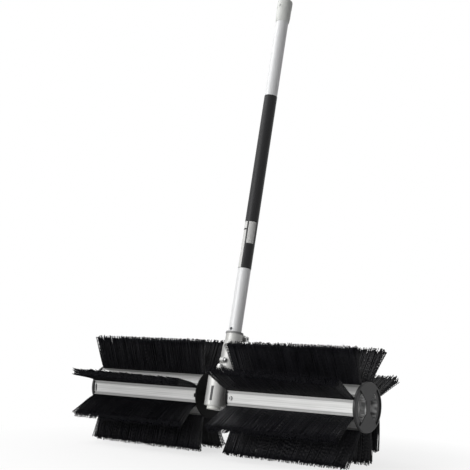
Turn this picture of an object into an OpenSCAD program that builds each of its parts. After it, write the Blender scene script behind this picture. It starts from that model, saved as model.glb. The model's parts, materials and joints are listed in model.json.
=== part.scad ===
// Power sweeper attachment: a bristle drum pair, its gear case and its drive tube.
// +Z is up, +X runs along the drums, -Y is the front. The origin is the centre of the
// tube's upper end, where a powerhead's coupler takes hold. Distances marked "along the
// tube" are measured upwards from the drum axis, in the leaning frame of the tube.

/* [Drive tube] */
// Outside diameter of the drive tube
tube_d = 25.4; // [22:0.1:32]
// Wall of the drive tube
tube_wall = 1.5; // [1:0.1:3]
// Distance from the drum axis to the tube's upper end
tube_reach = 818; // [400:1:1200]
// Lean of the tube towards the back, in degrees
tube_lean = 11.05; // [0:0.1:35]
// Length of the cap over the tube's upper end
cap_len = 49; // [30:1:90]
// Wall of the tube cap
cap_wall = 2.2; // [1:0.1:3]
// Start of the blank wrap, along the tube
wrap_low = 249; // [170:1:400]
// End of the blank wrap, along the tube
wrap_high = 611; // [420:1:900]
// Diameter of the drive shaft
drive_d = 8; // [6:0.1:10]

/* [Drums] */
// Width over both drums
overall_w = 634; // [300:1:1000]
// Gap between the two drums
drum_gap = 70; // [64:1:120]
// Diameter over the bristle tips
brush_d = 224; // [150:1:300]
// Diameter over the corners of the drum profile
drum_d = 86; // [80:1:100]
// Width of the slot mouth that a brush strip stands in
slot_mouth = 5.8; // [4:0.1:7]
// Width of the slot under its lips
slot_w = 8.4; // [8:0.1:9]
// Depth of the slot from the drum's corners
slot_depth = 8; // [7:0.1:9]
// Thickness of the slot's lips at the corner
slot_lip = 3; // [2.5:0.1:3.5]
// How far the bristles spread to each side between root and tip
bristle_flare = 5.5; // [0:0.5:8]
// How far the bristles fan out past each end of their strip
end_fan = 7; // [0:0.5:9]
// Wall of the drum profile
drum_wall = 2; // [1.5:0.1:3]
// Thickness of the rim of an outer drum cap
rim_t = 5; // [3:0.1:8]
// Depth of the finger pockets in an outer drum cap
pocket_depth = 14; // [8:0.5:20]
// Width of the grip bar between the finger pockets
grip_w = 12; // [8:0.5:20]

/* [Gear case] */
// Half of the gear case's width across the drums' axis
case_half_w = 17; // [16:0.5:20]
// Wall of the gear case
case_wall = 4; // [3:0.1:6]
// Outside diameter of the worm tower
tower_d = 38; // [37:0.5:46]
// Distance from the drum axis to the neck's mouth, along the tube
neck_top = 119; // [100:1:150]
// Wall of the neck around the tube
neck_wall = 3.5; // [2.5:0.1:6]

/* [Gears] */
// Module of the worm and its wheel
worm_module = 1.5; // [1.4:0.05:1.6]
// Teeth on the worm wheel
wheel_teeth = 28; // [27:1:29]
// Width of the worm wheel
wheel_w = 12; // [8:1:12]
// Length of the worm's thread
worm_len = 22; // [16:1:26]
// Module of the transfer gears
transfer_module = 1; // [0.95:0.05:1.1]
// Teeth on each transfer gear
transfer_teeth = 28; // [28:1:30]
// Width of the transfer gears
transfer_w = 6; // [5:0.5:8]
// Play between meshing flanks
backlash = 0.3; // [0.2:0.05:0.4]

/* [Shafts and bearings] */
// Diameter of the output shaft
shaft_d = 12; // [10:0.5:14]
// Outside diameter of an output bearing
bearing_d = 28; // [26:1:30]
// Width of an output bearing
bearing_w = 8; // [6:1:9]
// Length of the output shaft
shaft_len = 150; // [120:1:200]
// Diameter of the worm shaft in its bearings
worm_shaft_d = 8; // [7:0.1:8.5]
// Outside diameter of the shaft bearings beside the transfer gears
small_bearing_d = 19; // [17:1:22]
// Width of the shaft bearings beside the transfer gears
small_bearing_w = 6; // [5:1:7]

/* [Hidden] */
strip_count = 8;        // on each drum: bolts and grip bars need a facet at each quarter turn

$fn = 64;
tiny = 0.02;            // overrun of a cut past the face it opens
run_gap = 0.05;         // radial clearance of a shaft that turns in a bore
seat_gap = 0.02;        // radial clearance of a part seated in its bore
slide_gap = 0.3;        // clearance of a part that slides in a groove

// Tube
tube_r = tube_d / 2;
tube_bore_r = tube_r - tube_wall;
locator_z = neck_top + 9;   // locating screw
cap_top = 7;            // closed end of the cap
cap_bore_r = tube_r + 0.1;
cap_r = cap_bore_r + cap_wall;
mark_w = 1;             // width of a depth mark rolled into the tube
mark_depth = 0.25;
coupling_len = 80;      // tube that a coupler covers
bush_len = 18;
drive_end_len = 26;     // squared upper end of the drive shaft
drive_end_inset = 6;    // how far it stays below the tube's end

// Drums
strip_pitch = 360 / strip_count;
facet_half = strip_pitch / 2 - asin(slot_mouth / drum_d);
drum_r = drum_d / 2;
facet_apothem = drum_r * cos(facet_half);
slot_floor_r = drum_r - slot_depth;
lip_w = 1.8;                               // across a facet: lip, groove, ledge, panel
groove_w = 2.2;
ledge_w = 1.4;
ring_r = slot_floor_r - drum_wall;         // bore of the drum profile
drum_in = drum_gap / 2;                    // inner face of a drum
hub_flange = 2.5;
profile_in = drum_in + hub_flange;
profile_out = overall_w / 2 - rim_t;
profile_len = profile_out - profile_in;
rim_r = drum_r + 0.9;
hub_len = 42;
bolt_x = drum_in + 11.5;                   // cross bolt of each drum
bolt_d = 6;
ledge_depth = 2;                           // step round the finger pockets
lip_t = 4;                                 // bar's lip over the undercut
notch_w = 7;
notch_len = 6;
brush_r = brush_d / 2;

// Worm and wheel. The transfer gears and the worm pair share one centre distance.
centre_dist = transfer_module * transfer_teeth;
wheel_pitch_r = worm_module * wheel_teeth / 2;
worm_pitch_r = centre_dist - wheel_pitch_r;
worm_pitch = PI * worm_module;
addendum = worm_module;
dedendum = 1.25 * worm_module;
worm_r = worm_pitch_r + addendum;
worm_root_r = worm_pitch_r - dedendum;
wheel_r = wheel_pitch_r + addendum;
lead_angle = atan(worm_pitch / (2 * PI * worm_pitch_r));
transfer_r = centre_dist / 2 + transfer_module;
cavity_gap = 1.2;       // air round the gears

// Stations along the tube, measured from the drum axis
wheel_room = wheel_r + cavity_gap;
housing_r = wheel_room + case_wall;
low_bearing_d = 16;
low_bearing_w = 5;
low_bearing_z = -worm_len / 2 - 10;        // lower face of the worm's foot bearing
tower_foot = low_bearing_z - 2;
side_gap = 1.5;                            // between a transfer gear and the bearings
lower_bearing_z = wheel_room + 1;
gear_z = lower_bearing_z + small_bearing_w + side_gap;
upper_bearing_z = gear_z + transfer_w + side_gap;
socket_z = upper_bearing_z + small_bearing_w + 2;
tower_r = tower_d / 2;
crown = 12;                                // height of the tower's domed top
tower_top = gear_z + transfer_w + cavity_gap + 7;
filler_r = 7;                              // boss of the grease filler
filler_top = tower_top + 6;

// Neck and clamp
neck_r = tube_r + neck_wall;
skirt_r = neck_r + 3.8;                    // the neck widens below the collar
collar_len = 13;
ring_len = 4;                              // dust ring over the neck's mouth
ear_half = 9;
clamp_y = neck_r + 5.8;
clamp_z = neck_top - 4.5;
clamp_bolt_d = 6;
case_bolt_d = 4;
// Case bolts as [y, z, half the thickness of the boss], in the tube's frame
case_bolt_places = [[-skirt_r - 3, 65, 4], [skirt_r + 5, 56, 8],
                    [housing_r + 2, 8, case_half_w - 3], [housing_r - 6, -housing_r + 4, 8]];
plate_x = 4.5;                             // bare plate beside the front seam
plate_w = 5;
plate_low = -15.5;
plate_high = 12;

module tube_frame(z = 0)                   // z is measured along the tube from the drum axis
    rotate([-tube_lean, 0, 0]) translate([0, 0, z - tube_reach]) children();

module drum_frame()
    translate([0, -tube_reach * sin(tube_lean), -tube_reach * cos(tube_lean)]) children();

module on_side(side) scale([side, 1, 1]) children();

// A ring or disc along X, with its near face at x
module disc_x(x, r, len, bore = 0)
    translate([x, 0, 0]) rotate([0, 90, 0]) difference() {
        cylinder(h = len, r = r);
        if (bore > 0) translate([0, 0, -tiny]) cylinder(h = len + 2 * tiny, r = bore);
    }

module ring(r, bore, h) difference() {
    cylinder(h = h, r = r);
    translate([0, 0, -tiny]) cylinder(h = h + 2 * tiny, r = bore);
}

// A ball bearing as its two races and the shield between them
module bearing(d, bore_d, w) {
    r = d / 2;
    b = bore_d / 2 + seat_gap;
    race = (r - b) / 4;
    rotate_extrude() polygon([
        [b, 0], [b + race, 0], [b + race, 0.5], [r - race, 0.5], [r - race, 0], [r, 0],
        [r, w], [r - race, w], [r - race, w - 0.5], [b + race, w - 0.5], [b + race, w], [b, w]]);
}

// ---- gears ----

function involute(rb, a) =                 // point on the involute of a circle, a in degrees
    let (s = a * PI / 180) [rb * (cos(a) + s * sin(a)), rb * (sin(a) - s * cos(a))];
function turned(p, a) = [p[0] * cos(a) - p[1] * sin(a), p[0] * sin(a) + p[1] * cos(a)];
function roll_at(rb, r) = sqrt(max(0, r * r / (rb * rb) - 1)) * 180 / PI;
function inv_angle(rb, r) = let (a = roll_at(rb, r)) a - atan(a * PI / 180);

// Outline of an involute gear with a tooth on its X axis
module gear_outline(teeth, m, tip_r, root_r, play) {
    rp = m * teeth / 2;
    rb = rp * cos(20);
    start = max(rb, root_r);
    half = 90 / teeth - play / (2 * rp) * 90 / PI + inv_angle(rb, rp);
    steps = 5;
    flank = [for (i = [0 : steps])
        let (r = start + (tip_r - start) * i / steps)
        turned(involute(rb, roll_at(rb, r)), -half)];
    mirrored = [for (i = [steps : -1 : 0]) [flank[i][0], -flank[i][1]]];
    root_half = half - inv_angle(rb, start);
    polygon([for (k = [0 : teeth - 1])
        let (a = k * 360 / teeth)
        each concat(
            [turned([root_r, 0], a - root_half - 0.6)],
            [for (p = flank) turned(p, a)],
            [for (p = mirrored) turned(p, a)],
            [turned([root_r, 0], a + root_half + 0.6)])]);
}

module transfer_gear(bore_r) difference() {
    linear_extrude(height = transfer_w)
        gear_outline(transfer_teeth, transfer_module, transfer_r,
                     centre_dist / 2 - 1.25 * transfer_module, backlash);
    translate([0, 0, -tiny]) cylinder(h = transfer_w + 2 * tiny, r = bore_r);
    for (side = [0, 1])                    // thinned web
        translate([0, 0, side * (transfer_w - 1.5) - (side == 0 ? tiny : 0)])
            ring(transfer_r - 4, bore_r + 4, 1.5 + tiny);
}

// Helical thread of the worm, one start, right-handed, with a crest at z = 0 on the +Y side
module worm_thread() {
    per_turn = 20;
    n = floor((worm_len - worm_pitch / 2) / worm_pitch * per_turn);
    in_r = worm_root_r - 0.3;
    half_pitch_w = worm_pitch / 4 - backlash / 2;
    tip_w = half_pitch_w - addendum * tan(20);
    in_w = half_pitch_w + (worm_pitch_r - in_r) * tan(20);
    points = [for (i = [0 : n])
        let (a = (i - n / 2) * 360 / per_turn, z = worm_pitch * a / 360)
        each [for (q = [[in_r, -in_w], [worm_r, -tip_w], [worm_r, tip_w], [in_r, in_w]])
            [q[0] * cos(a + 90), q[0] * sin(a + 90), z + q[1]]]];
    sides = [for (i = [0 : n - 1]) each [for (j = [0 : 3])
        let (p = 4 * i + j, q = 4 * i + (j + 1) % 4)
        each [[p, q + 4, p + 4], [p, q, q + 4]]]];
    polyhedron(points, concat([[0, 2, 1], [0, 3, 2]], sides,
                              [[4 * n, 4 * n + 1, 4 * n + 2], [4 * n, 4 * n + 2, 4 * n + 3]]));
}

// ---- drive tube and what it carries ----

module drive_tube() color("silver") tube_frame() difference() {
    translate([0, 0, socket_z]) cylinder(h = tube_reach - socket_z, r = tube_r);
    translate([0, 0, socket_z - tiny])
        cylinder(h = tube_reach - socket_z + 2 * tiny, r = tube_bore_r);
    for (z = [tube_reach - coupling_len, tube_reach - cap_len + cap_top - mark_w])
        translate([0, 0, z]) ring(tube_r + 1, tube_r - mark_depth, mark_w);
    // catch hole of the coupler, and the hole of the locating screw
    translate([0, 0, tube_reach - 22]) rotate([90, 0, 0]) cylinder(h = tube_r + 1, r = 3.5);
    translate([0, 0, locator_z]) rotate([90, 0, 0]) cylinder(h = tube_r + 1, r = 1.6);
}

module tube_wrap() color("dimgray") tube_frame(wrap_low)
    ring(tube_r + 0.35, tube_r + seat_gap, wrap_high - wrap_low);

// Turned travel cap: tapered skirt, straight body and a wider head with a rounded top
module tube_cap() color("gainsboro") tube_frame(tube_reach + cap_top - cap_len) difference() {
    skirt = 11;
    head = 29;
    round_r = 4.5;
    head_r = cap_r + 0.5;
    rotate_extrude() difference() {
        union() {
            polygon([[0, 0], [cap_bore_r + 0.8, 0], [cap_bore_r + 1, 2.8], [cap_bore_r + 1.4, 2.8],
                     [cap_r, skirt], [cap_r, head + 1], [0, head + 1]]);
            translate([0, head]) square([head_r - 0.6, 1.2]);
            translate([0, head + 1]) square([head_r, cap_len - head - 1 - round_r]);
            square([head_r - round_r, cap_len]);
            translate([head_r - round_r, cap_len - round_r]) intersection() {
                circle(r = round_r);
                square(round_r);
            }
        }
        translate([-tiny, -tiny]) square([cap_bore_r + tiny, cap_len - cap_top + 0.1 + tiny]);
    }
    translate([0, 0, head + 4]) rotate([90, 0, 0]) cylinder(h = cap_r + 2, r = 1.8);
}

module tube_bushes() color("white")
    for (z = [socket_z + 90, socket_z + 300, socket_z + 510, tube_reach - 60]) tube_frame(z)
        ring(tube_bore_r - seat_gap, drive_d / 2 + run_gap, bush_len);

module drive_shaft() color("lightslategray") tube_frame() {
    top = tube_reach - drive_end_inset;
    low = lower_bearing_z;
    translate([0, 0, low]) cylinder(h = top - drive_end_len - low, r = drive_d / 2);
    intersection() {                       // squared end
        translate([0, 0, top - drive_end_len]) cylinder(h = drive_end_len, r = drive_d / 2);
        translate([-drive_d * 0.4, -drive_d * 0.4, top - drive_end_len])
            cube([drive_d * 0.8, drive_d * 0.8, drive_end_len]);
    }
}

module drive_gear() color("gray") tube_frame(gear_z)
    rotate([0, 0, -90]) transfer_gear(drive_d / 2);

module drive_clip() color("dimgray") tube_frame(gear_z + transfer_w)
    ring(drive_d / 2 + 2.5, drive_d / 2, 1);

module drive_bearings() color("silver") {
    for (z = [lower_bearing_z, upper_bearing_z]) tube_frame(z)
        bearing(small_bearing_d, drive_d + 2 * run_gap, small_bearing_w);
}

module drive_seal() color("black") tube_frame(upper_bearing_z + small_bearing_w)
    ring(small_bearing_d / 2 - 1, drive_d / 2 + run_gap, socket_z - upper_bearing_z - small_bearing_w);

module dust_ring() color("gray") tube_frame(neck_top)
    rotate_extrude() difference() {
        square([neck_r + 1, ring_len]);
        translate([-1, -1]) square([tube_r + seat_gap + 1, ring_len + 2]);
        translate([neck_r + 0.4, ring_len - 0.8]) square(2);
    }

module locating_screw() color("dimgray") tube_frame(locator_z) rotate([90, 0, 0]) {
    translate([0, 0, tube_bore_r - 1]) cylinder(h = tube_wall + 1.3, r = 1.6 - seat_gap);
    translate([0, 0, tube_r + 0.1]) difference() {
        cylinder(h = 1.6, r1 = 2.9, r2 = 2.3, $fn = 32);
        translate([-0.4, -2, 1]) cube([0.8, 4, 1]);
    }
}

// ---- gear case ----

module tower_form() translate([0, -centre_dist, 0]) rotate_extrude() {
    shoulder = tower_top - crown;
    translate([0, tower_foot]) square([tower_r, shoulder - tower_foot]);
    translate([0, tower_foot - 1.2]) square([tower_r - 1.2, 2]);
    translate([0, shoulder]) intersection() {
        scale([tower_r / crown, 1]) circle(r = crown);
        square(tower_r);
    }
    square([filler_r, filler_top - 1]);
    square([filler_r - 1, filler_top]);
}

// Neck with its collar. It flares out to the skirt below the collar.
module neck_form() rotate_extrude() polygon([
    [0, 0], [skirt_r + 0.5, gear_z], [skirt_r, 70], [skirt_r - 1, neck_top - collar_len - 11],
    [neck_r, neck_top - collar_len], [neck_r, neck_top], [0, neck_top]]);

module housing_form() {
    disc_x(-case_half_w + 3, housing_r, 2 * case_half_w - 6);
    disc_x(-case_half_w, housing_r - 3, 2 * case_half_w);
    for (side = [-1, 1]) on_side(side) disc_x(0, bearing_d / 2 + case_wall, case_half_w + 5);
}

// A boss along X with a round end, joined back to the case at y = root
module boss(y, z, half, r, root) {
    translate([-half, y, z]) rotate([0, 90, 0]) cylinder(h = 2 * half, r = r);
    translate([-half, min(y, root), z - r]) cube([2 * half, abs(y - root), 2 * r]);
}

// Outside of the case. The halves are cut from it at x = 0.
module case_form() {
    tower_form();
    neck_form();
    housing_form();
    // body between the tower, the neck and the housing
    translate([-case_half_w + 3, -centre_dist, tower_foot + 4])
        cube([2 * case_half_w - 6, centre_dist, tower_top - crown - tower_foot - 2]);
    // rib down the back that carries the bolts
    translate([-6, 0, 0]) rotate([90, 0, 90]) linear_extrude(height = 12) polygon([
        [0, 0], [skirt_r - 2, 72], [skirt_r + 4, 60], [housing_r + 4, 14], [housing_r + 4, 2],
        [housing_r, -12], [housing_r - 4, -housing_r + 2], [0, -housing_r + 2]]);
    for (p = case_bolt_places) boss(p[0], p[1], p[2], 5, p[0] < 0 ? -neck_r : p[0] - 6);
    boss(clamp_y, clamp_z, ear_half, 6.5, neck_r - 3);
}

module case_room() {
    disc_x(-wheel_w / 2 - 1, wheel_room, wheel_w + 2);
    disc_x(-wheel_w / 2 - 1 - bearing_w, bearing_d / 2 + seat_gap, wheel_w + 2 + 2 * bearing_w);
    disc_x(-case_half_w - 6, shaft_d / 2 + 5, 2 * case_half_w + 12);         // seals
    translate([0, -centre_dist, 0]) {                                        // worm
        translate([0, 0, tower_foot - 3])
            cylinder(h = low_bearing_z + low_bearing_w - tower_foot + 3, r = low_bearing_d / 2 + seat_gap);
        translate([0, 0, low_bearing_z + low_bearing_w - tiny])
            cylinder(h = lower_bearing_z - low_bearing_z - low_bearing_w - 1, r = worm_r + 0.6);
        translate([0, 0, lower_bearing_z - 2]) cylinder(h = 3, r = worm_shaft_d / 2 + 2);
        translate([0, 0, filler_top - 14]) cylinder(h = 20, r = 4);          // grease filler
    }
    for (y = [0, -centre_dist]) translate([0, y, 0]) {                       // transfer gears
        translate([0, 0, lower_bearing_z])
            cylinder(h = small_bearing_w + side_gap, r = small_bearing_d / 2 + seat_gap);
        translate([0, 0, gear_z - cavity_gap])
            cylinder(h = transfer_w + 2 * cavity_gap, r = transfer_r + 0.6);
    }
    translate([0, 0, gear_z])
        cylinder(h = upper_bearing_z + small_bearing_w - gear_z, r = small_bearing_d / 2 + seat_gap);
    translate([0, 0, gear_z]) cylinder(h = socket_z - gear_z, r = small_bearing_d / 2 - 1 + seat_gap);
    translate([0, 0, socket_z]) cylinder(h = neck_top - socket_z + 1, r = tube_r + seat_gap);
    // bolt holes, and the slit that lets the neck clamp
    for (p = case_bolt_places) translate([-20, p[0], p[1]]) rotate([0, 90, 0])
        cylinder(h = 40, r = case_bolt_d / 2 + 0.1);
    translate([-20, clamp_y, clamp_z]) rotate([0, 90, 0]) cylinder(h = 40, r = clamp_bolt_d / 2 + 0.1);
    translate([-1, tube_r - 1, clamp_z - 10]) cube([2, 22, 30]);
    translate([0, 0, neck_top]) cylinder(h = 10, r = neck_r + 1 + seat_gap);  // dust ring
}

// A band of the tower's skin, from one depth to another, at the bare plate
module plate_band(outer, inner, gap) intersection() {
    translate([0, -centre_dist, plate_low + gap])
        ring(tower_r - outer, tower_r - inner, plate_high - plate_low - 2 * gap);
    translate([plate_x - plate_w / 2 + gap, -centre_dist - tower_r - 1, plate_low - 1])
        cube([plate_w - 2 * gap, tower_r, plate_high - plate_low + 2]);
}

module case_half(side) difference() {
    intersection() {
        case_form();
        on_side(side) translate([0.01, -100, -100]) cube([60, 200, 400]);
    }
    case_room();
    plate_band(-1, 1.5, 0);
    // thin line from the plate to the tower's foot
    translate([plate_x, -centre_dist - tower_r, tower_foot - 2])
        cube([0.8, 1.4, plate_low - tower_foot + 2]);
}

module gear_case_left() color("gainsboro") tube_frame() case_half(-1);
module gear_case_right() color("lightgray") tube_frame() case_half(1);
module case_plate() color("black") tube_frame() plate_band(0.5, 1.45, 0.05);

// A socket-head screw along X: head outside, shank running to -x
module cross_screw(d, len, head_r, head_h) {
    translate([-len, 0, 0]) rotate([0, 90, 0]) cylinder(h = len + tiny, r = d / 2);
    rotate([0, 90, 0]) difference() {
        cylinder(h = head_h, r = head_r, $fn = 32);
        translate([0, 0, head_h * 0.4]) cylinder(h = head_h, r = d * 0.45, $fn = 6);
    }
}

module case_bolts() color("dimgray") tube_frame()
    for (p = case_bolt_places) translate([p[2], p[0], p[1]])
        cross_screw(case_bolt_d, 2 * p[2] - 1, 3.5, 4);

module clamp_bolt() color("dimgray") tube_frame(clamp_z) translate([ear_half, clamp_y, 0])
    cross_screw(clamp_bolt_d, 2 * ear_half + 5.5, 5, 7);

module clamp_nut() color("dimgray") tube_frame(clamp_z) translate([-ear_half - 4.8, clamp_y, 0])
    rotate([0, 90, 0]) difference() {
        cylinder(h = 4.8, r = 5.6, $fn = 6);
        translate([0, 0, -1]) cylinder(h = 8, r = clamp_bolt_d / 2 + seat_gap);
    }

module worm_shaft() color("slategray") tube_frame() translate([0, -centre_dist, 0]) {
    worm_thread();
    translate([0, 0, -worm_len / 2]) cylinder(h = worm_len, r = worm_root_r);
    translate([0, 0, low_bearing_z])
        cylinder(h = gear_z + transfer_w + 0.5 - low_bearing_z, r = worm_shaft_d / 2);
}

module follower_gear() color("gray") tube_frame(gear_z) translate([0, -centre_dist, 0])
    rotate([0, 0, 90 + 180 / transfer_teeth]) transfer_gear(worm_shaft_d / 2);

module worm_bearing_top() color("silver") tube_frame(lower_bearing_z)
    translate([0, -centre_dist, 0]) bearing(small_bearing_d, worm_shaft_d + 2 * run_gap, small_bearing_w);

module worm_bearing_low() color("silver") tube_frame(low_bearing_z)
    translate([0, -centre_dist, 0]) bearing(low_bearing_d, worm_shaft_d + 2 * run_gap, low_bearing_w);

// Round plug that closes the tower's foot under the worm
module worm_cap() color("whitesmoke") tube_frame(tower_foot - 1.2) translate([0, -centre_dist, 0])
    rotate_extrude() {
        spigot = low_bearing_z - tower_foot + 1.1;
        flange_r = 12.8;
        flange = 6.3;
        square([low_bearing_d / 2 - seat_gap, spigot]);
        translate([0, -flange]) square([flange_r - 1, flange]);
        translate([0, 1 - flange]) square([flange_r, flange - 1]);
        translate([flange_r - 1, 1 - flange]) circle(r = 1);
    }

module grease_plug() color("silver") tube_frame(filler_top - 8) translate([0, -centre_dist, 0]) {
    cylinder(h = 9, r = 4 - 2 * seat_gap);
    translate([0, 0, 8.05]) cylinder(h = 3, r = 5.5, $fn = 6);
}

// ---- what turns with the drums ----

module output_shaft() color("lightslategray") drum_frame() difference() {
    disc_x(-shaft_len / 2, shaft_d / 2, shaft_len);
    for (x = [-bolt_x, bolt_x]) translate([x, 0, 0])
        rotate([x < 0 ? 0 : 90, 0, 0]) cylinder(h = 40, r = bolt_d / 2 + 0.1, center = true);
    translate([-5, shaft_d / 2 - 2, -2]) cube([10, 4, 4]);
}

module worm_wheel() color("darkgoldenrod") drum_frame() rotate([-tube_lean, 0, 0])
    translate([-wheel_w / 2, 0, 0]) rotate([0, 90, 0]) difference() {
        twist = 360 * wheel_w * tan(lead_angle) / (2 * PI * wheel_pitch_r);
        rotate([0, 0, 180 / wheel_teeth - twist / 2])
            linear_extrude(height = wheel_w, twist = -twist, slices = 3)
                gear_outline(wheel_teeth, worm_module, wheel_r, wheel_pitch_r - dedendum, backlash);
        translate([0, 0, -tiny]) cylinder(h = wheel_w + 2 * tiny, r = shaft_d / 2);
        rotate([0, 0, tube_lean]) translate([-2, 0, -1]) cube([4, shaft_d / 2 + 2, wheel_w + 2]);
    }

module wheel_key() color("gray") drum_frame()
    translate([-5 + 0.05, shaft_d / 2 - 2 + 0.02, -2 + 0.05]) cube([9.9, 3.9, 3.9]);

module output_bearings() color("silver") drum_frame() for (side = [-1, 1]) on_side(side)
    translate([wheel_w / 2 + 1, 0, 0]) rotate([0, 90, 0])
        bearing(bearing_d, shaft_d + 2 * run_gap, bearing_w);

module output_seals() color("black") drum_frame() for (side = [-1, 1]) on_side(side)
    disc_x(case_half_w - 1, shaft_d / 2 + 5 - seat_gap, 6, shaft_d / 2 + run_gap);

// Extruded section of a drum: facets with raised panels, hollow chambers and T slots
module drum_section() difference() {
    polygon([for (k = [0 : strip_count - 1]) each [for (s = [-1, 1])
        let (a = k * strip_pitch + s * facet_half) [drum_r * cos(a), drum_r * sin(a)]]]);
    circle(r = ring_r);
    for (k = [0 : strip_count - 1]) {
        rotate(k * strip_pitch + strip_pitch / 2) {
            translate([slot_floor_r, -slot_mouth / 2]) square([drum_r, slot_mouth]);
            translate([slot_floor_r, -slot_w / 2]) square([slot_depth - slot_lip, slot_w]);
        }
        rotate(k * strip_pitch) {
            edge = facet_apothem * tan(facet_half);
            panel = edge - lip_w - groove_w - ledge_w;
            for (s = [-1, 1]) scale([1, s]) {
                translate([facet_apothem - 1.4, panel + ledge_w]) square([3, groove_w]);
                translate([facet_apothem - 0.6, panel]) square([3, ledge_w + tiny]);
            }
            in_h = facet_apothem - drum_wall - 1;
            translate([slot_floor_r, -panel]) square([in_h - slot_floor_r, 2 * panel]);
        }
    }
}

// side is +1 or -1. turn is the angle of the bolt's facet from the front.
module drum(side, turn) drum_frame() on_side(side) rotate([-turn, 0, 0]) difference() {
    translate([profile_in, 0, 0]) rotate([90, 0, 90]) linear_extrude(height = profile_len) drum_section();
    rotate([90, 0, 0]) translate([bolt_x, 0, -drum_r]) cylinder(h = drum_d, r = bolt_d / 2 + 0.3);
    for (s = [-1, 1]) {
        translate([profile_in - 1, -notch_w / 2, s * drum_r - drum_r / 2])
            cube([notch_len + 1, notch_w, drum_r]);
        // slot for the outer cap's snap tab
        translate([profile_out - 7.5, -7, s * facet_apothem - 4]) cube([3.5, 14, 8]);
    }
}

module drum_left() color("silver") drum(-1, 90);
module drum_right() color("silver") drum(1, 0);

// Inner drum hub: a flange with two dogs and a core on the shaft
module hub(side, turn) drum_frame() on_side(side) rotate([-turn, 0, 0]) difference() {
    union() {
        disc_x(drum_in, rim_r, hub_flange - 0.02);
        disc_x(drum_in, ring_r - 0.1, hub_len);
        for (s = [-1, 1]) translate([drum_in, -notch_w / 2 + 0.15, s > 0 ? ring_r - 1 : -facet_apothem + 0.4])
            cube([hub_flange + notch_len - 0.3, notch_w - 0.3, facet_apothem - ring_r + 0.6]);
    }
    disc_x(drum_in - 1, shaft_d / 2 + seat_gap, hub_len + 2);
    // hollow between the core and the skirt
    disc_x(drum_in + 20, ring_r - 3, hub_len, shaft_d / 2 + 5);
    rotate([90, 0, 0]) translate([bolt_x, 0, -drum_r - 3]) cylinder(h = drum_d + 6, r = bolt_d / 2 + 0.15);
}

module hub_left() color("black") hub(-1, 90);
module hub_right() color("black") hub(1, 0);

// Outer drum cap with two finger pockets and a waisted grip bar
module pocket_outline(r, bar_w) difference() {
    waist = 10;
    intersection() {
        circle(r = r);
        translate([bar_w / 2, -r]) square([r, 2 * r]);
    }
    for (s = [-1, 1]) scale([1, s])        // the bar widens towards the rim
        polygon([[0, waist], [bar_w / 2, waist], [bar_w / 2 + r, waist + r], [0, waist + r]]);
}

module drum_cap(side, turn) drum_frame() on_side(side) rotate([turn, 0, 0]) difference() {
    union() {
        translate([overall_w / 2, 0, 0]) rotate([0, -90, 0]) rotate_extrude() {
            polygon([[0, 0], [rim_r - 1.4, 0], [rim_r - 0.5, 0.3], [rim_r, 1.2],
                     [rim_r, rim_t - 0.02], [0, rim_t - 0.02]]);
        }
        disc_x(overall_w / 2 - pocket_depth - 3, ring_r - 0.1, pocket_depth + 2);
    }
    for (s = [0, 180]) rotate([s, 0, 0]) {
        // finger pockets, undercut behind the bar for the fingertips
        translate([overall_w / 2 - pocket_depth, 0, 0]) rotate([90, 0, 90]) {
            linear_extrude(height = pocket_depth + 1) pocket_outline(ring_r - 2, grip_w);
            linear_extrude(height = pocket_depth - lip_t) pocket_outline(ring_r - 2, grip_w - 4);
        }
        // shallow ledge between the pocket and the rim
        translate([overall_w / 2 - ledge_depth, 0, 0]) rotate([90, 0, 90])
            linear_extrude(height = ledge_depth + 1) pocket_outline(rim_r - 3, grip_w);
    }
    translate([overall_w / 2 - pocket_depth - 4, 0, 0]) rotate([0, 90, 0])
        cylinder(h = 10, r = 2.1);
}

module cap_left() color("black") drum_cap(-1, 90);
module cap_right() color("black") drum_cap(1, 0);

module cap_screws() color("gray") drum_frame() for (side = [-1, 1]) on_side(side)
    translate([overall_w / 2 - pocket_depth - 3 - 6, 0, 0]) rotate([0, 90, 0]) cylinder(h = 12, r = 2);

// Cross bolts of the drums, with their nuts
module drum_bolts() color("silver") drum_frame() for (side = [-1, 1]) on_side(side)
    rotate([side < 0 ? -90 : 0, 0, 0]) translate([bolt_x, 0, 0]) rotate([90, 0, 0]) {
        translate([0, 0, -facet_apothem + 2]) cylinder(h = 2 * facet_apothem - 3, r = bolt_d / 2);
        translate([0, 0, facet_apothem + 0.05]) difference() {
            cylinder(h = 2.2, r1 = 4.4, r2 = 3.6, $fn = 32);
            translate([0, 0, 0.8]) cylinder(h = 3, r = 2, $fn = 6);
        }
    }

module drum_nuts() color("silver") drum_frame() for (side = [-1, 1]) on_side(side)
    rotate([side < 0 ? -90 : 0, 0, 0]) translate([bolt_x, 0, 0]) rotate([90, 0, 0])
        translate([0, 0, -facet_apothem - 2.05]) cylinder(h = 2, r = 5, $fn = 6);

// One brush strip: crimped channel in the drum's slot, and its bristles
module brush(side, i) drum_frame() on_side(side)
    rotate([-strip_pitch / 2 - (i - 1) * strip_pitch, 0, 0]) mirror([0, 1, 0]) {
        start = profile_in + 0.5;
        end = profile_out - 0.5;
        back_w = slot_w - 2 * slide_gap;
        back_h = slot_depth - slot_lip - 2 * slide_gap;
        root = slot_mouth / 2 - slide_gap;
        tip = root + bristle_flare;
        translate([start, slot_floor_r + slide_gap, -back_w / 2]) cube([end - start, back_h, back_w]);
        intersection() {
            // across the strip
            translate([start - end_fan, 0, 0]) rotate([90, 0, 90])
                linear_extrude(height = end - start + 2 * end_fan)
                    polygon([[slot_floor_r + 2, -root], [drum_r + 1, -root], [brush_r, -tip],
                             [brush_r, tip], [drum_r + 1, root], [slot_floor_r + 2, root]]);
            // along the strip
            translate([0, 0, -tip]) linear_extrude(height = 2 * tip)
                polygon([[start, 0], [start, drum_r + 1], [start - end_fan, brush_r],
                         [end + end_fan, brush_r], [end, drum_r + 1], [end, 0]]);
        }
    }

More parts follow.
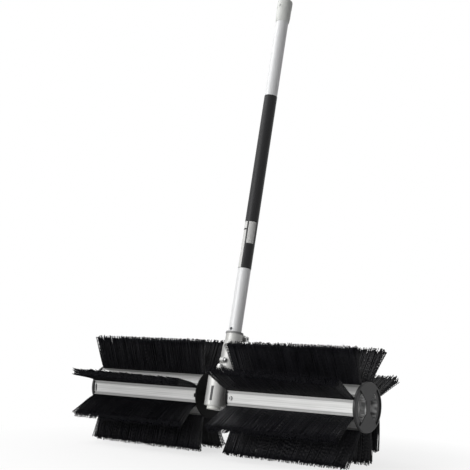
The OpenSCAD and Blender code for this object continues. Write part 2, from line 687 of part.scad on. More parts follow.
drive_tube();
tube_wrap();
tube_cap();
tube_bushes();
drive_shaft();
drive_gear();
drive_clip();
drive_bearings();
drive_seal();
dust_ring();
locating_screw();
gear_case_left();
gear_case_right();
case_plate();
case_bolts();
clamp_bolt();
clamp_nut();
worm_shaft();
follower_gear();
worm_bearing_top();
worm_bearing_low();
worm_cap();
grease_plug();
output_shaft();
worm_wheel();
wheel_key();
output_bearings();
output_seals();
drum_left();
drum_right();
hub_left();
hub_right();
cap_left();
cap_right();
drum_bolts();
drum_nuts();
cap_screws();
for (i = [1 : strip_count]) {
    color("black") brush(-1, i);
    color("black") brush(1, i);
}
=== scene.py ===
"""Looks of the power sweeper attachment: camera, light, floor, materials and bristles. Metres."""
import json
import math

import bpy
import numpy as np
from mathutils import Matrix, Vector


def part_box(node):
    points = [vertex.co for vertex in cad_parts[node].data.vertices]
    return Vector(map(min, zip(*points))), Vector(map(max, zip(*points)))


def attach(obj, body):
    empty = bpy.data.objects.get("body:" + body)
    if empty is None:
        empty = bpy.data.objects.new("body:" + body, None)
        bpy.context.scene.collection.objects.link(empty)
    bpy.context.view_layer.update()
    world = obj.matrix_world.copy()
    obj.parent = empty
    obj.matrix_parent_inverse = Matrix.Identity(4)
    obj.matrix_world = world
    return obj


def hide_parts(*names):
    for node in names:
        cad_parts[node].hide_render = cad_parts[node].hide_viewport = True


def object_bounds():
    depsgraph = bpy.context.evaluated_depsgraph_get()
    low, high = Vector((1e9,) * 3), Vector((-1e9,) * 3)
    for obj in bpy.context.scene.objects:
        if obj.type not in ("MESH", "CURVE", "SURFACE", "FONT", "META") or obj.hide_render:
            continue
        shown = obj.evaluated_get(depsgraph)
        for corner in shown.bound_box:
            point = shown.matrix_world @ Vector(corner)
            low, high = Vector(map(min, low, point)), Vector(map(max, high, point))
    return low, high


MM = 0.001
STRIP_COUNT = 8              # brush strips, and facets, of each drum

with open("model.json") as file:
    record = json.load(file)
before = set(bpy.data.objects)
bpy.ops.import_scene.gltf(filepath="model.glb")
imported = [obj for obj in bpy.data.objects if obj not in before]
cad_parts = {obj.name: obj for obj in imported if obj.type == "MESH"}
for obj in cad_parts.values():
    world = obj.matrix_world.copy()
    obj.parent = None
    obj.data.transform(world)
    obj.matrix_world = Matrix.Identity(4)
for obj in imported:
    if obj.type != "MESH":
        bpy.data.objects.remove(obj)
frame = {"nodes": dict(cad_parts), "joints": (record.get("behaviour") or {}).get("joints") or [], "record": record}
cad_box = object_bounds()
nodes = frame["nodes"]
joints = {joint["name"]: joint for joint in frame["joints"]}
drum_centre = Vector(joints["drum_spin"]["pos_m"])
tube_axis = Vector(joints["drive_spin"]["axis"]).normalized()
tube_lean = math.atan2(tube_axis.y, tube_axis.z)


def math_node(tree, operation, *values):
    """A math node whose inputs are numbers or other nodes' outputs."""
    node = tree.nodes.new("ShaderNodeMath")
    node.operation = operation
    for socket, value in zip(node.inputs, values):
        if isinstance(value, (int, float)):
            socket.default_value = value
        else:
            tree.links.new(value, socket)
    return node.outputs[0]


# ---- camera, light and floor ----

VIEW_TURN = math.radians(38.66)      # towards +X from the front
VIEW_TILT = math.radians(-5.09)      # the camera looks slightly up
VIEW_ROLL = math.radians(1.82)
CAMERA_FROM_DRUMS = Vector((1.2856, -1.5923, 0.1249))
LENS = 81.8                          # millimetres
SENSOR = 36                          # its width in millimetres
VIEW_DEPTH = 50                      # the camera sees this far
LIGHT_AIM = Vector((0, 0, 0.15))     # from the drums
AMBIENT = 0.14                       # the white surroundings' strength as light
# Square lamps: name, offset from the drums to the camera's right, upright and back, size, power
LAMPS = [
    ("key", (-1.9, 1.0, 1.1), 1.4, 42),
    ("top", (-1.2, 1.9, -0.5), 1.4, 24),
    ("front", (-0.3, 0.35, 2.2), 0.7, 6),
]
FLOOR_HALF = 12                      # half the floor's width
FLOOR_FADE = (0.15, 0.6)             # distances over which the floor turns white
FLOOR_WHITE = 0.68                   # how white it is under the object already


def view_axes():
    """Right, up and back of the camera."""
    back = Vector((
        math.sin(VIEW_TURN) * math.cos(VIEW_TILT),
        -math.cos(VIEW_TURN) * math.cos(VIEW_TILT),
        math.sin(VIEW_TILT),
    ))
    right = Vector((math.cos(VIEW_TURN), math.sin(VIEW_TURN), 0))
    up = back.cross(right)
    c, s = math.cos(VIEW_ROLL), math.sin(VIEW_ROLL)
    return c * right + s * up, c * up - s * right, back


def make_camera():
    right, up, back = view_axes()
    data = bpy.data.cameras.new("camera")
    data.lens = LENS
    data.sensor_width = SENSOR
    data.clip_end = VIEW_DEPTH
    camera = bpy.data.objects.new("camera", data)
    bpy.context.scene.collection.objects.link(camera)
    place = Matrix.Translation(drum_centre + CAMERA_FROM_DRUMS)
    camera.matrix_world = place @ Matrix((right, up, back)).transposed().to_4x4()
    bpy.context.scene.camera = camera


def area_light(name, offset, size, power):
    """A square lamp that shines on the object."""
    right, _, back = view_axes()
    data = bpy.data.lights.new(name, "AREA")
    data.size = size
    data.energy = power
    lamp = bpy.data.objects.new(name, data)
    bpy.context.scene.collection.objects.link(lamp)
    lamp.location = (drum_centre + right * offset[0] + Vector((0, 0, 1)) * offset[1]
                     + back * offset[2])
    towards = drum_centre + LIGHT_AIM - lamp.location
    lamp.rotation_euler = towards.to_track_quat("-Z", "Y").to_euler()


def seen_directly(tree):
    """1 for camera, glossy and transmission rays, and 0 for the rest."""
    path = tree.nodes.new("ShaderNodeLightPath")
    total = path.outputs["Is Camera Ray"]
    for ray in ("Is Glossy Ray", "Is Transmission Ray"):
        total = math_node(tree, "MAXIMUM", total, path.outputs[ray])
    return total


def make_world():
    world = bpy.data.worlds.new("studio")
    world.use_nodes = True
    tree = world.node_tree
    light = tree.nodes["Background"]
    light.inputs["Color"].default_value = (1, 1, 1, 1)
    light.inputs["Strength"].default_value = AMBIENT
    white = tree.nodes.new("ShaderNodeBackground")
    white.inputs["Color"].default_value = (1, 1, 1, 1)
    white.inputs["Strength"].default_value = 1
    mix = tree.nodes.new("ShaderNodeMixShader")
    tree.links.new(seen_directly(tree), mix.inputs[0])
    tree.links.new(light.outputs[0], mix.inputs[1])
    tree.links.new(white.outputs[0], mix.inputs[2])
    tree.links.new(mix.outputs[0], tree.nodes["World Output"].inputs["Surface"])
    bpy.context.scene.world = world


def make_floor():
    """A pale floor that turns into the white background away from the object."""
    low = cad_box[0][2]
    corners = [(x * FLOOR_HALF, y * FLOOR_HALF, low)
               for x, y in ((-1, -1), (1, -1), (1, 1), (-1, 1))]
    mesh = bpy.data.meshes.new("floor")
    mesh.from_pydata(corners, [], [(0, 1, 2, 3)])
    floor = bpy.data.objects.new("floor", mesh)
    bpy.context.scene.collection.objects.link(floor)
    material = bpy.data.materials.new("floor")
    material.use_nodes = True
    tree = material.node_tree
    shader = tree.nodes["Principled BSDF"]
    shader.inputs["Base Color"].default_value = (0.9, 0.9, 0.9, 1)
    shader.inputs["Roughness"].default_value = 0.9
    shader.inputs["Specular IOR Level"].default_value = 0.1
    white = tree.nodes.new("ShaderNodeEmission")
    white.inputs["Strength"].default_value = 1
    geometry = tree.nodes.new("ShaderNodeNewGeometry")
    away = tree.nodes.new("ShaderNodeVectorMath")
    away.operation = "DISTANCE"
    away.inputs[1].default_value = (drum_centre.x, drum_centre.y, low)
    fade = tree.nodes.new("ShaderNodeMapRange")
    fade.inputs["From Min"].default_value = FLOOR_FADE[0]
    fade.inputs["From Max"].default_value = FLOOR_FADE[1]
    fade.inputs["To Min"].default_value = FLOOR_WHITE
    mix = tree.nodes.new("ShaderNodeMixShader")
    tree.links.new(geometry.outputs["Position"], away.inputs[0])
    tree.links.new(away.outputs["Value"], fade.inputs["Value"])
    shown = math_node(tree, "MULTIPLY", fade.outputs["Result"], seen_directly(tree))
    tree.links.new(shown, mix.inputs[0])
    tree.links.new(shader.outputs[0], mix.inputs[1])
    tree.links.new(white.outputs[0], mix.inputs[2])
    tree.links.new(mix.outputs[0], tree.nodes["Material Output"].inputs["Surface"])
    mesh.materials.append(material)


# ---- materials ----

BROAD_RATIO = 12             # how much coarser the broad grain is than the fine one
BROAD_SHARE = 0.35           # how much of the grain is the broad one
GRAIN_RAMP = (0.3, 0.7)      # noise values of the darkest and the palest tone
RELIEF = 0.2 * MM            # height of the grain
ROUGH_CHANGE = 0.1           # how far the grain moves the roughness each way

PANEL_HALF = 8.3 * MM        # half width of the raised panel along a drum's facet
EDGE_SHADE = 0.45             # how dark the painted shade on the facet beside the panel is
RIB_PITCH = 3.2 * MM         # fine grooves along the drums' facets
RIB_SHARE = 0.3              # of the pitch that is groove
RIB_STRENGTH = 0.13          # how far a groove takes on its colour
RIB_COLOR = (0.02, 0.02, 0.02)
CAP_FACE = 317 * MM          # from the middle of the drums to an outer cap's face
LEDGE = 1.2 * MM             # the painted light on the pockets' walls starts this far in
POCKET_DEPTH = 14 * MM
POCKET_R = 31 * MM
# colour of the painted light and highlights inside the pockets
POCKET_LIGHT_COLOR = (0.9, 0.9, 0.9)
HIGHLIGHT_STREAK_SCALE = (60, 420, 90)         # of the noise for the painted highlight streaks in the pockets, along X, Y and Z
HIGHLIGHT_STREAK_RANGE = (0.35, 0.65)          # noise values of no painted highlight streak and a full one
HIGHLIGHT_STREAK_BASE = 0.25                   # how strong the painted light in a pocket is between highlight streaks
POCKET_LIGHT_FADE = 1.15                   # the painted light in a pocket is brighter near the drum axis: this less r / POCKET_R
POCKET_LIGHT_FADE_RANGE = (0.55, 0.8)      # limits of that
SURFACE_BAND = 0.3 * MM      # a mask reaches this far past the face it colours
TIP_BAND = (96 * MM, 107 * MM)       # distances from the drum axis where tips lose their shine
TIP_SHINE = (0.24, 0.03)             # specular level before and after that
PANEL_COLOR = (0.5, 0.5, 0.49)
# Blank panels on the wrap: two angles round the tube in degrees, then two heights above the
# drum axis in millimetres
PANELS = [(17, 86, 299, 343), (-51, 2, 329, 343), (-51, 2, 250, 326)]


def surface(name, color, roughness, scale, tone, metallic=0.0, grain=(1, 1, 1), bump=0.1,
            turn=0.0, specular=0.5):
    """A material whose tone and roughness follow a fine and a broad grain, and whose relief
    follows the fine one. grain stretches the noise along X, Y and Z, and turn leans it about X."""
    material = bpy.data.materials.new(name)
    material.use_nodes = True
    tree = material.node_tree
    shader = tree.nodes["Principled BSDF"]
    shader.inputs["Metallic"].default_value = metallic
    shader.inputs["Specular IOR Level"].default_value = specular
    place = tree.nodes.new("ShaderNodeTexCoord")
    lean = tree.nodes.new("ShaderNodeMapping")
    lean.inputs["Rotation"].default_value = (turn, 0, 0)
    stretch = tree.nodes.new("ShaderNodeMapping")
    stretch.inputs["Scale"].default_value = grain
    fine = tree.nodes.new("ShaderNodeTexNoise")
    fine.inputs["Scale"].default_value = scale
    fine.inputs["Detail"].default_value = 6
    broad = tree.nodes.new("ShaderNodeTexNoise")
    broad.inputs["Scale"].default_value = scale / BROAD_RATIO
    broad.inputs["Detail"].default_value = 3
    tree.links.new(place.outputs["Object"], lean.inputs["Vector"])
    tree.links.new(lean.outputs["Vector"], stretch.inputs["Vector"])
    for noise in (fine, broad):
        tree.links.new(stretch.outputs["Vector"], noise.inputs["Vector"])
    both = tree.nodes.new("ShaderNodeMix")
    both.inputs["Factor"].default_value = BROAD_SHARE
    tree.links.new(fine.outputs["Fac"], both.inputs["A"])
    tree.links.new(broad.outputs["Fac"], both.inputs["B"])
    shade = tree.nodes.new("ShaderNodeValToRGB")
    dark, pale = shade.color_ramp.elements
    dark.position, pale.position = GRAIN_RAMP
    dark.color = [c * (1 - tone) for c in color] + [1]
    pale.color = [min(1, c * (1 + tone)) for c in color] + [1]
    tree.links.new(both.outputs["Result"], shade.inputs["Fac"])
    tree.links.new(shade.outputs["Color"], shader.inputs["Base Color"])
    rough = tree.nodes.new("ShaderNodeMapRange")
    rough.inputs["To Min"].default_value = roughness - ROUGH_CHANGE
    rough.inputs["To Max"].default_value = roughness + ROUGH_CHANGE
    tree.links.new(both.outputs["Result"], rough.inputs["Value"])
    tree.links.new(rough.outputs["Result"], shader.inputs["Roughness"])
    relief = tree.nodes.new("ShaderNodeBump")
    relief.inputs["Strength"].default_value = bump
    relief.inputs["Distance"].default_value = RELIEF
    tree.links.new(fine.outputs["Fac"], relief.inputs["Height"])
    tree.links.new(relief.outputs["Normal"], shader.inputs["Normal"])
    return material


def within(tree, value, low, high):
    """1 where a value lies between two numbers."""
    above = math_node(tree, "GREATER_THAN", value, low)
    return math_node(tree, "MULTIPLY", above, math_node(tree, "LESS_THAN", value, high))


def tint(material, mask, color):
    """Change a material's colour where the mask is 1. The mix node has sockets for several
    kinds of value: inputs 6 and 7 and output 2 are its colours."""
    tree = material.node_tree
    base = tree.nodes["Principled BSDF"].inputs["Base Color"]
    mix = tree.nodes.new("ShaderNodeMix")
    mix.data_type = "RGBA"
    mix.inputs[7].default_value = (*color, 1)
    tree.links.new(mask, mix.inputs[0])
    tree.links.new(base.links[0].from_socket, mix.inputs[6])
    tree.links.new(mix.outputs[2], base)


def about_drums(tree):
    """Texture coordinates round the drum axis: the node itself, then X, the distances back and
    up from the axis, and the radius."""
    place = tree.nodes.new("ShaderNodeTexCoord")
    split = tree.nodes.new("ShaderNodeSeparateXYZ")
    tree.links.new(place.outputs["Object"], split.inputs[0])
    back = math_node(tree, "SUBTRACT", split.outputs["Y"], drum_centre.y)
    upward = math_node(tree, "SUBTRACT", split.outputs["Z"], drum_centre.z)
    squares = math_node(tree, "ADD", math_node(tree, "MULTIPLY", back, back),
                        math_node(tree, "MULTIPLY", upward, upward))
    return place, split.outputs["X"], back, upward, math_node(tree, "SQRT", squares)


def facet_shade_and_grooves(material):
    """Paint shade on each drum facet beside its raised panel, and draw fine grooves along it."""
    tree = material.node_tree
    _, _, back, upward, radius = about_drums(tree)
    facet = 2 * math.pi / STRIP_COUNT
    angle = math_node(tree, "ARCTAN2", upward, back)
    turned = math_node(tree, "WRAP", angle, facet / 2, -facet / 2)
    across = math_node(tree, "ABSOLUTE", math_node(
        tree, "MULTIPLY", radius, math_node(tree, "SINE", turned)))
    # painted shade beside the panel
    edge_shade = tree.nodes.new("ShaderNodeMapRange")
    edge_shade.inputs["From Min"].default_value = PANEL_HALF - SURFACE_BAND
    edge_shade.inputs["From Max"].default_value = PANEL_HALF + SURFACE_BAND
    edge_shade.inputs["To Max"].default_value = EDGE_SHADE
    tree.links.new(across, edge_shade.inputs["Value"])
    tint(material, edge_shade.outputs["Result"], (0, 0, 0))
    groove = math_node(tree, "LESS_THAN", math_node(
        tree, "FRACT", math_node(tree, "DIVIDE", across, RIB_PITCH)), RIB_SHARE)
    tint(material, math_node(tree, "MULTIPLY", groove, RIB_STRENGTH), RIB_COLOR)


def plain_panels(material):
    """Blank pale panels on the wrap."""
    tree = material.node_tree
    place = tree.nodes.new("ShaderNodeTexCoord")
    upright = tree.nodes.new("ShaderNodeMapping")
    upright.inputs["Rotation"].default_value = (tube_lean, 0, 0)
    level = Matrix.Rotation(tube_lean, 3, "X") @ drum_centre
    tree.links.new(place.outputs["Object"], upright.inputs["Vector"])
    split = tree.nodes.new("ShaderNodeSeparateXYZ")
    tree.links.new(upright.outputs["Vector"], split.inputs[0])
    back = math_node(tree, "SUBTRACT", split.outputs["Y"], level.y)
    height = math_node(tree, "SUBTRACT", split.outputs["Z"], level.z)
    forward = math_node(tree, "MULTIPLY", back, -1.0)
    turn = math_node(tree, "ARCTAN2", split.outputs["X"], forward)
    for turn_from, turn_to, low, high in PANELS:
        turned = within(tree, turn, math.radians(turn_from), math.radians(turn_to))
        raised = within(tree, height, low * MM, high * MM)
        tint(material, math_node(tree, "MULTIPLY", turned, raised), PANEL_COLOR)


def dull_tips(material):
    """Take the shine off the bristles' cut tips."""
    tree = material.node_tree
    radius = about_drums(tree)[-1]
    level = tree.nodes.new("ShaderNodeMapRange")
    level.inputs["From Min"].default_value = TIP_BAND[0]
    level.inputs["From Max"].default_value = TIP_BAND[1]
    level.inputs["To Min"].default_value = TIP_SHINE[0]
    level.inputs["To Max"].default_value = TIP_SHINE[1]
    tree.links.new(radius, level.inputs["Value"])
    shader = tree.nodes["Principled BSDF"]
    tree.links.new(level.outputs["Result"], shader.inputs["Specular IOR Level"])


def pocket_painted_light(material):
    """Painted light and highlight streaks on the insides of the finger pockets in the drums' outer caps."""
    tree = material.node_tree
    place, along, _, _, radius = about_drums(tree)
    depth = math_node(tree, "SUBTRACT", CAP_FACE, math_node(tree, "ABSOLUTE", along))
    inside = math_node(tree, "MULTIPLY", within(tree, depth, LEDGE, POCKET_DEPTH + SURFACE_BAND),
                       within(tree, radius, -MM, POCKET_R + SURFACE_BAND))
    stretch = tree.nodes.new("ShaderNodeMapping")
    stretch.inputs["Scale"].default_value = HIGHLIGHT_STREAK_SCALE
    tree.links.new(place.outputs["Object"], stretch.inputs["Vector"])
    highlight_streaks = tree.nodes.new("ShaderNodeTexNoise")
    highlight_streaks.inputs["Scale"].default_value = 1
    highlight_streaks.inputs["Detail"].default_value = 1
    tree.links.new(stretch.outputs["Vector"], highlight_streaks.inputs["Vector"])
    uneven = tree.nodes.new("ShaderNodeMapRange")
    uneven.inputs["From Min"].default_value = HIGHLIGHT_STREAK_RANGE[0]
    uneven.inputs["From Max"].default_value = HIGHLIGHT_STREAK_RANGE[1]
    tree.links.new(highlight_streaks.outputs[0], uneven.inputs["Value"])
    fading = math_node(tree, "SUBTRACT", POCKET_LIGHT_FADE, math_node(tree, "DIVIDE", radius, POCKET_R))
    fading = math_node(tree, "MINIMUM", fading, POCKET_LIGHT_FADE_RANGE[1])
    fading = math_node(tree, "MAXIMUM", fading, POCKET_LIGHT_FADE_RANGE[0])
    streaked_light = math_node(tree, "ADD", uneven.outputs[0], HIGHLIGHT_STREAK_BASE)
    light_patches = math_node(tree, "MULTIPLY", streaked_light, fading)
    tint(material, math_node(tree, "MULTIPLY", inside, light_patches), POCKET_LIGHT_COLOR)


# What each slot of the record is made of, for surface()
LOOKS = {
    "tube_aluminium": dict(color=(0.56, 0.565, 0.57), roughness=0.45, metallic=0.1,
                           grain=(14, 14, 0.5), scale=60, tone=0.06, bump=0.05, turn=tube_lean),
    "drum_aluminium": dict(color=(0.45, 0.45, 0.445), roughness=0.32, metallic=0.75,
                           grain=(0.25, 10, 10), scale=60, tone=0.16, bump=0.12),
    "case_casting": dict(color=(0.4, 0.4, 0.39), roughness=0.5, metallic=0.5, scale=900,
                         tone=0.06, bump=0.2),
    "cap_plastic": dict(color=(0.5, 0.51, 0.49), roughness=0.5, scale=700, tone=0.04, bump=0.1),
    "wrap_film": dict(color=(0.012, 0.012, 0.013), roughness=0.45, scale=300, tone=0.2,
                      bump=0.05, specular=0.2),
    "bush_plastic": dict(color=(0.6, 0.6, 0.57), roughness=0.5, scale=500, tone=0.05),
    "black_plastic": dict(color=(0.024, 0.024, 0.025), roughness=0.36, scale=900, tone=0.15,
                          bump=0.15, specular=0.25),
    # a darker copy of the black plastic: painted shade on the hubs, which sit in shadow between the drums and the
    # gear case
    "hub_plastic": dict(color=(0.006, 0.006, 0.006), roughness=0.6, scale=900, tone=0.15,
                        bump=0.2, specular=0.1),
    "ring_rubber": dict(color=(0.2, 0.2, 0.2), roughness=0.55, scale=600, tone=0.1),
    "pale_plastic": dict(color=(0.6, 0.6, 0.57), roughness=0.4, scale=500, tone=0.05),
    "bristle_nylon": dict(color=(0.008, 0.008, 0.01), roughness=0.36, scale=350, tone=0.45,
                          bump=0.05),
    "steel": dict(color=(0.4, 0.4, 0.4), roughness=0.3, metallic=1, scale=500, tone=0.08),
    "dark_steel": dict(color=(0.06, 0.06, 0.065), roughness=0.4, metallic=0.8, scale=600,
                       tone=0.15),
    "bronze": dict(color=(0.5, 0.3, 0.11), roughness=0.35, metallic=1, scale=500, tone=0.1),
    "rubber": dict(color=(0.02, 0.02, 0.02), roughness=0.7, scale=600, tone=0.2, bump=0.2),
}


def make_materials():
    made = {name: surface(name, **look) for name, look in LOOKS.items()}
    # painted shade beside the facets' panels
    facet_shade_and_grooves(made["drum_aluminium"])
    plain_panels(made["wrap_film"])
    # painted light and highlights inside the caps' pockets
    pocket_painted_light(made["black_plastic"])
    dull_tips(made["bristle_nylon"])
    return made


def dress_nodes(materials):
    for part in frame["record"]["subparts"]:
        mesh = nodes[part["node"]].data
        mesh.materials.clear()
        mesh.materials.append(materials[part["material_slot"]])


# ---- bristles ----

CAD_FAN = 7 * MM             # the plain strip's spread past each end, at its tips
ROOT_R = 37.5 * MM           # inside the slot's mouth
FREE_R = 43 * MM             # where the slot ends and the bristles are free
TIP_R = 111.6 * MM
PITCH = 2.0 * MM             # along the strip
ROOT_HALF = 1.9 * MM         # half the strip's width where it leaves the slot
TIP_HALF = 6.2 * MM          # and at its tips
ACROSS_LIMIT = 8 * MM        # no bristle strays further across than this
CRIMP_LENGTH = 6 * MM
TUFT = 4.5 * MM              # bristles lean and crimp in tufts about this wide
END_FAN = 3.5 * MM           # how far the last bristles lean out of the strip's end
FAN_FROM = 45 * MM           # the lean starts this far from the end
PARTINGS = 7                 # places in a strip where the bristles part at their tips
PARTING = 1.1 * MM           # how far they lean away there
PARTING_REACH = 4 * MM       # how far along the strip that fades
FURTHEST = 318 * MM          # bristles stay within the drums' outer faces
TIP_MARGIN = 0.3 * MM        # an unworn bristle ends this far inside TIP_R
WEAR = 0.9 * MM              # spread of single bristles' wear
TUFT_WEAR = 0.6 * MM         # spread of whole tufts' lengths
TUFT_LEAN = 0.8 * MM         # spread of their lean along the strip
TUFT_ASIDE = 0.7 * MM        # spread of their lean across it
ASIDE_STRAY = 0.8 * MM       # spread of single bristles' lean across it
LAYER_STRAY = 0.25           # how far a bristle stands off its layer, in half widths
CRIMP_STRAY = 0.5            # radians by which the crimps of one tuft are out of step
CRIMP_STRETCH = (0.8, 1.3)   # range of the tufts' crimp lengths
CRIMP_HEIGHT = (0.1, 1.2)    # range of their crimp heights
CRIMP_RISE = 6               # the crimp grows to its height over a sixth of the free length
CRIMP_ALONG = 0.6            # of the crimp also runs along the strip
LEAN_POWER = 1.4             # how the lean, the partings and the stray grow towards the tip
PARTING_POWER = 6
STRAY_POWER = 2

# Crimped bristles outside, straight and thicker ones between them that close the strip, and
# crimped ones again over its two ends. layers are places across the strip in half widths, short
# is how much shorter the bristles are, stray the spread of their lean along the strip, inset
# how far they keep from its ends, and depth how far in from the ends they stand.
SKIN = {"layers": (-1, 1), "rings": 45, "radius": 0.72 * MM, "crimp": 0.5 * MM, "short": 0,
        "stray": 0.7 * MM}
CORE = {"layers": (-0.6, -0.2, 0.2, 0.6), "rings": 12, "radius": 1 * MM, "crimp": 0,
        "short": 3 * MM, "stray": 0.7 * MM, "inset": 3 * MM}
ENDS = {"layers": (-0.8, -0.4, 0, 0.4, 0.8), "rings": 45, "radius": 0.72 * MM, "crimp": 1.3 * MM,
        "short": 1 * MM, "depth": 6 * MM, "stray": 2.2 * MM}
WAVY_SKIN = {**SKIN, "crimp": 0.95 * MM}
WAVY_STRIPS = (6, 7)         # the lowest strips, whose crimps show most

# Strips whose bristles have taken a set: the sideways sag of their tips at the strip's inner
# and outer end, their lean away from the gear case there, the share of their length that
# bends, and how much shorter they are worn. Millimetres, apart from the share.
STRAIGHT = (0, 0, 0, 0, 0.4, 0)
SETS = {
    "left_1": (-15, -10, -3, -3, 0.4, 2.2),
    "left_2": (3, 3, -8, -5, 0.4, 0),
    "left_6": (0, 0, 3, 0, 0.4, 0),
    "left_7": (0, 3, -9, -16, 0.4, 0),
    "left_8": (-12, -11, -8, -5, 0.4, 0),
    "right_1": (13, 4, 0, 3, 0.4, 0),
    "right_3": (6, 10, 0, 3, 0.4, 0),
    "right_4": (0, -5, 0, 2, 0.4, 0),
    "right_5": (30, 62, 0, -14, 0.15, 0),
    "right_6": (0, -4, 0, -20, 0.4, 0),
    "right_7": (0, 0, 1, -17, 0.4, 0),
    "right_8": (-13, -9, 0, 2, 0.4, 0),
}


def tuft_values(rng, x, spread):
    """A value for each x that drifts smoothly from tuft to tuft."""
    knots = np.arange(x.min() - 2 * TUFT, x.max() + 2 * TUFT, TUFT)
    return np.interp(x, knots, rng.normal(0, spread, len(knots)))


def places(x0, x1, kind):
    """Where along the strip the bristles of one kind stand."""
    if "depth" not in kind:
        inset = kind.get("inset", kind["radius"])
        return np.arange(x0 + inset, x1 - inset, PITCH)
    inset = np.arange(kind["radius"], kind["depth"], PITCH)
    return np.concatenate([x0 + inset, x1 - inset])


def partings(x, x0, x1, seed):
    """How far the bristles at x lean away from the strip's partings."""
    rng = np.random.default_rng(seed)
    middles = rng.uniform(x0, x1, PARTINGS)
    away = x[:, None] - middles[None, :]
    return (np.sign(away) * np.exp(-np.abs(away) / PARTING_REACH)).sum(axis=1) * PARTING


def filament_lines(rng, x0, x1, seed, strip_set, kind):
    """Centre lines of one strip's bristles as (bristle, ring, [along, across, out])."""
    sag_in, sag_out, lean_in, lean_out = (value * MM for value in strip_set[:4])
    knee, trim = strip_set[4:]
    layers = kind["layers"]
    x = places(x0, x1, kind)
    count = len(x) * len(layers)
    x = np.repeat(x, len(layers)) + rng.uniform(-0.5, 0.5, count) * PITCH
    x = np.clip(x, x0 + kind["radius"], x1 - kind["radius"])
    share = (x - x0) / (x1 - x0)
    layer = np.tile(layers, count // len(layers))
    layer = np.clip(layer + rng.uniform(-LAYER_STRAY, LAYER_STRAY, count), -1, 1)
    worn = np.abs(rng.normal(0, WEAR, count)) + kind["short"] + trim * MM
    tip = np.minimum(TIP_R - TIP_MARGIN + tuft_values(rng, x, TUFT_WEAR) - worn, TIP_R)
    step = (tip - ROOT_R)[:, None] / (kind["rings"] - 1)
    run = ROOT_R + step * np.arange(kind["rings"])
    free = np.clip((run - FREE_R) / (TIP_R - FREE_R), 0, 1)

    sag = sag_in + (sag_out - sag_in) * share
    bend = (sag / (TIP_R - FREE_R) / (1 - knee / 2))[:, None] * np.clip(free / knee, 0, 1)
    middle = (bend[:, 1:] + bend[:, :-1]) / 2
    start = np.zeros((count, 1))
    out = ROOT_R + np.hstack([start, np.cumsum(np.cos(middle), axis=1)]) * step
    aside = np.hstack([start, np.cumsum(np.sin(middle), axis=1)]) * step

    lean = lean_in + (lean_out - lean_in) * share
    lean += tuft_values(rng, x, TUFT_LEAN) + rng.normal(0, kind["stray"], count)
    lean += END_FAN * np.clip((x - x1 + FAN_FROM) / FAN_FROM, 0, 1) ** 2
    lean -= END_FAN * np.clip((x0 + FAN_FROM - x) / FAN_FROM, 0, 1) ** 2

    tuft = np.floor((x - x0) / TUFT).astype(int)
    tufts = tuft.max() + 1
    phase = rng.uniform(-math.pi, math.pi, tufts)[tuft] + rng.normal(0, CRIMP_STRAY, count)
    pitch = rng.uniform(*CRIMP_STRETCH, tufts)[tuft] * CRIMP_LENGTH
    height = rng.uniform(*CRIMP_HEIGHT, tufts)[tuft] * kind["crimp"]
    wave = np.sin(2 * math.pi * run / pitch[:, None] + phase[:, None]) * height[:, None]
    wave *= np.minimum(1, free * CRIMP_RISE)

    along = x[:, None] + lean[:, None] * free ** LEAN_POWER + CRIMP_ALONG * wave
    along += partings(x, x0, x1, seed)[:, None] * free ** PARTING_POWER
    along = np.minimum(along, FURTHEST - kind["radius"])
    spread = ROOT_HALF + (TIP_HALF - ROOT_HALF) * free
    stray = tuft_values(rng, x, TUFT_ASIDE) + rng.normal(0, ASIDE_STRAY, count)
    across = layer[:, None] * spread + stray[:, None] * free ** STRAY_POWER + wave
    across = np.clip(across, -ACROSS_LIMIT, ACROSS_LIMIT)
    return np.stack([along, aside + across * np.cos(bend), out - across * np.sin(bend)], axis=2)


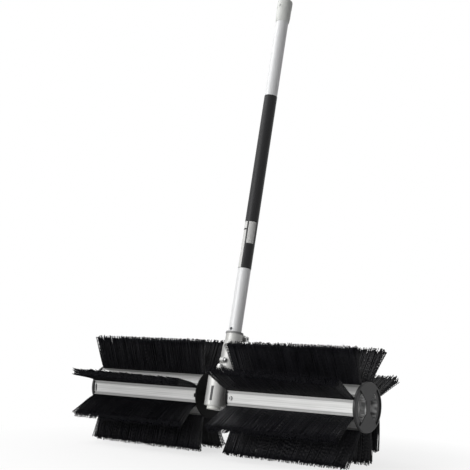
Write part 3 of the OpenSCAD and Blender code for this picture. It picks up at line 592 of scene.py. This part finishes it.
def tubes(lines, radius):
    """Three-sided closed tubes round centre lines: vertices and faces."""
    count, rings = lines.shape[:2]
    points = np.repeat(lines[:, :, None, :], 3, axis=2)
    for k in range(3):
        points[:, :, k, 0] += math.cos(2 * math.pi * k / 3) * radius
        points[:, :, k, 1] += math.sin(2 * math.pi * k / 3) * radius
    first = np.arange(count)[:, None, None] * rings * 3
    ring = np.arange(rings - 1)[None, :, None] * 3
    k = np.arange(3)[None, None, :]
    k_next = (k + 1) % 3
    quads = np.stack([first + ring + k, first + ring + k_next,
                      first + ring + 3 + k_next, first + ring + 3 + k], axis=3).reshape(-1, 4)
    roots = np.arange(count)[:, None] * rings * 3 + np.array([[2, 1, 0]])
    tips = (np.arange(count) * rings + rings - 1)[:, None] * 3 + np.array([[0, 1, 2]])
    return points.reshape(-1, 3), quads.tolist() + roots.tolist() + tips.tolist()


def mesh_object(name, points, faces):
    mesh = bpy.data.meshes.new(name)
    mesh.from_pydata(points.tolist(), [], faces)
    mesh.shade_smooth()
    mesh.update()
    piece = bpy.data.objects.new(name, mesh)
    bpy.context.scene.collection.objects.link(piece)
    return piece


def make_bristles(side, number, material):
    """The bristles of one strip, in place of its plain CAD solid."""
    strip = f"{'left' if side < 0 else 'right'}_{number}"
    node = f"brush_{strip}"
    low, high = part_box(node)
    x0, x1 = sorted((abs(low[0]), abs(high[0])))
    strip_set = SETS.get(strip, STRAIGHT)
    seed = 100 * number + (7 if side > 0 else 3)    # a different one for each strip
    rng = np.random.default_rng(seed)
    points, faces = [], []
    for kind in (WAVY_SKIN if number in WAVY_STRIPS else SKIN, CORE, ENDS):
        lines = filament_lines(rng, x0 + CAD_FAN, x1 - CAD_FAN, seed, strip_set, kind)
        more_points, more_faces = tubes(lines, kind["radius"])
        first = sum(map(len, points))
        faces += [[first + corner for corner in face] for face in more_faces]
        points.append(more_points)
    points = np.concatenate(points)
    turn = math.radians(360 / STRIP_COUNT * (number - 0.5))
    outward = np.array([0, -math.cos(turn), math.sin(turn)])
    sideways = np.array([0, math.sin(turn), math.cos(turn)])
    placed = (points[:, :1] * np.array([[side, 0, 0]]) + points[:, 1:2] * sideways
              + points[:, 2:3] * outward + np.array(drum_centre))
    if side < 0:    # the mirrored side: keep the faces pointing outward
        faces = [face[::-1] for face in faces]
    piece = mesh_object(f"bristles_{strip}", placed, faces)
    piece.data.materials.append(material)
    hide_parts(node)
    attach(piece, "drums")


def main():
    make_camera()
    make_world()
    for lamp in LAMPS:
        area_light(*lamp)
    make_floor()
    materials = make_materials()
    dress_nodes(materials)
    for side in (-1, 1):
        for number in range(1, STRIP_COUNT + 1):
            make_bristles(side, number, materials["bristle_nylon"])
    bpy.context.scene.view_settings.view_transform = "Standard"


main()
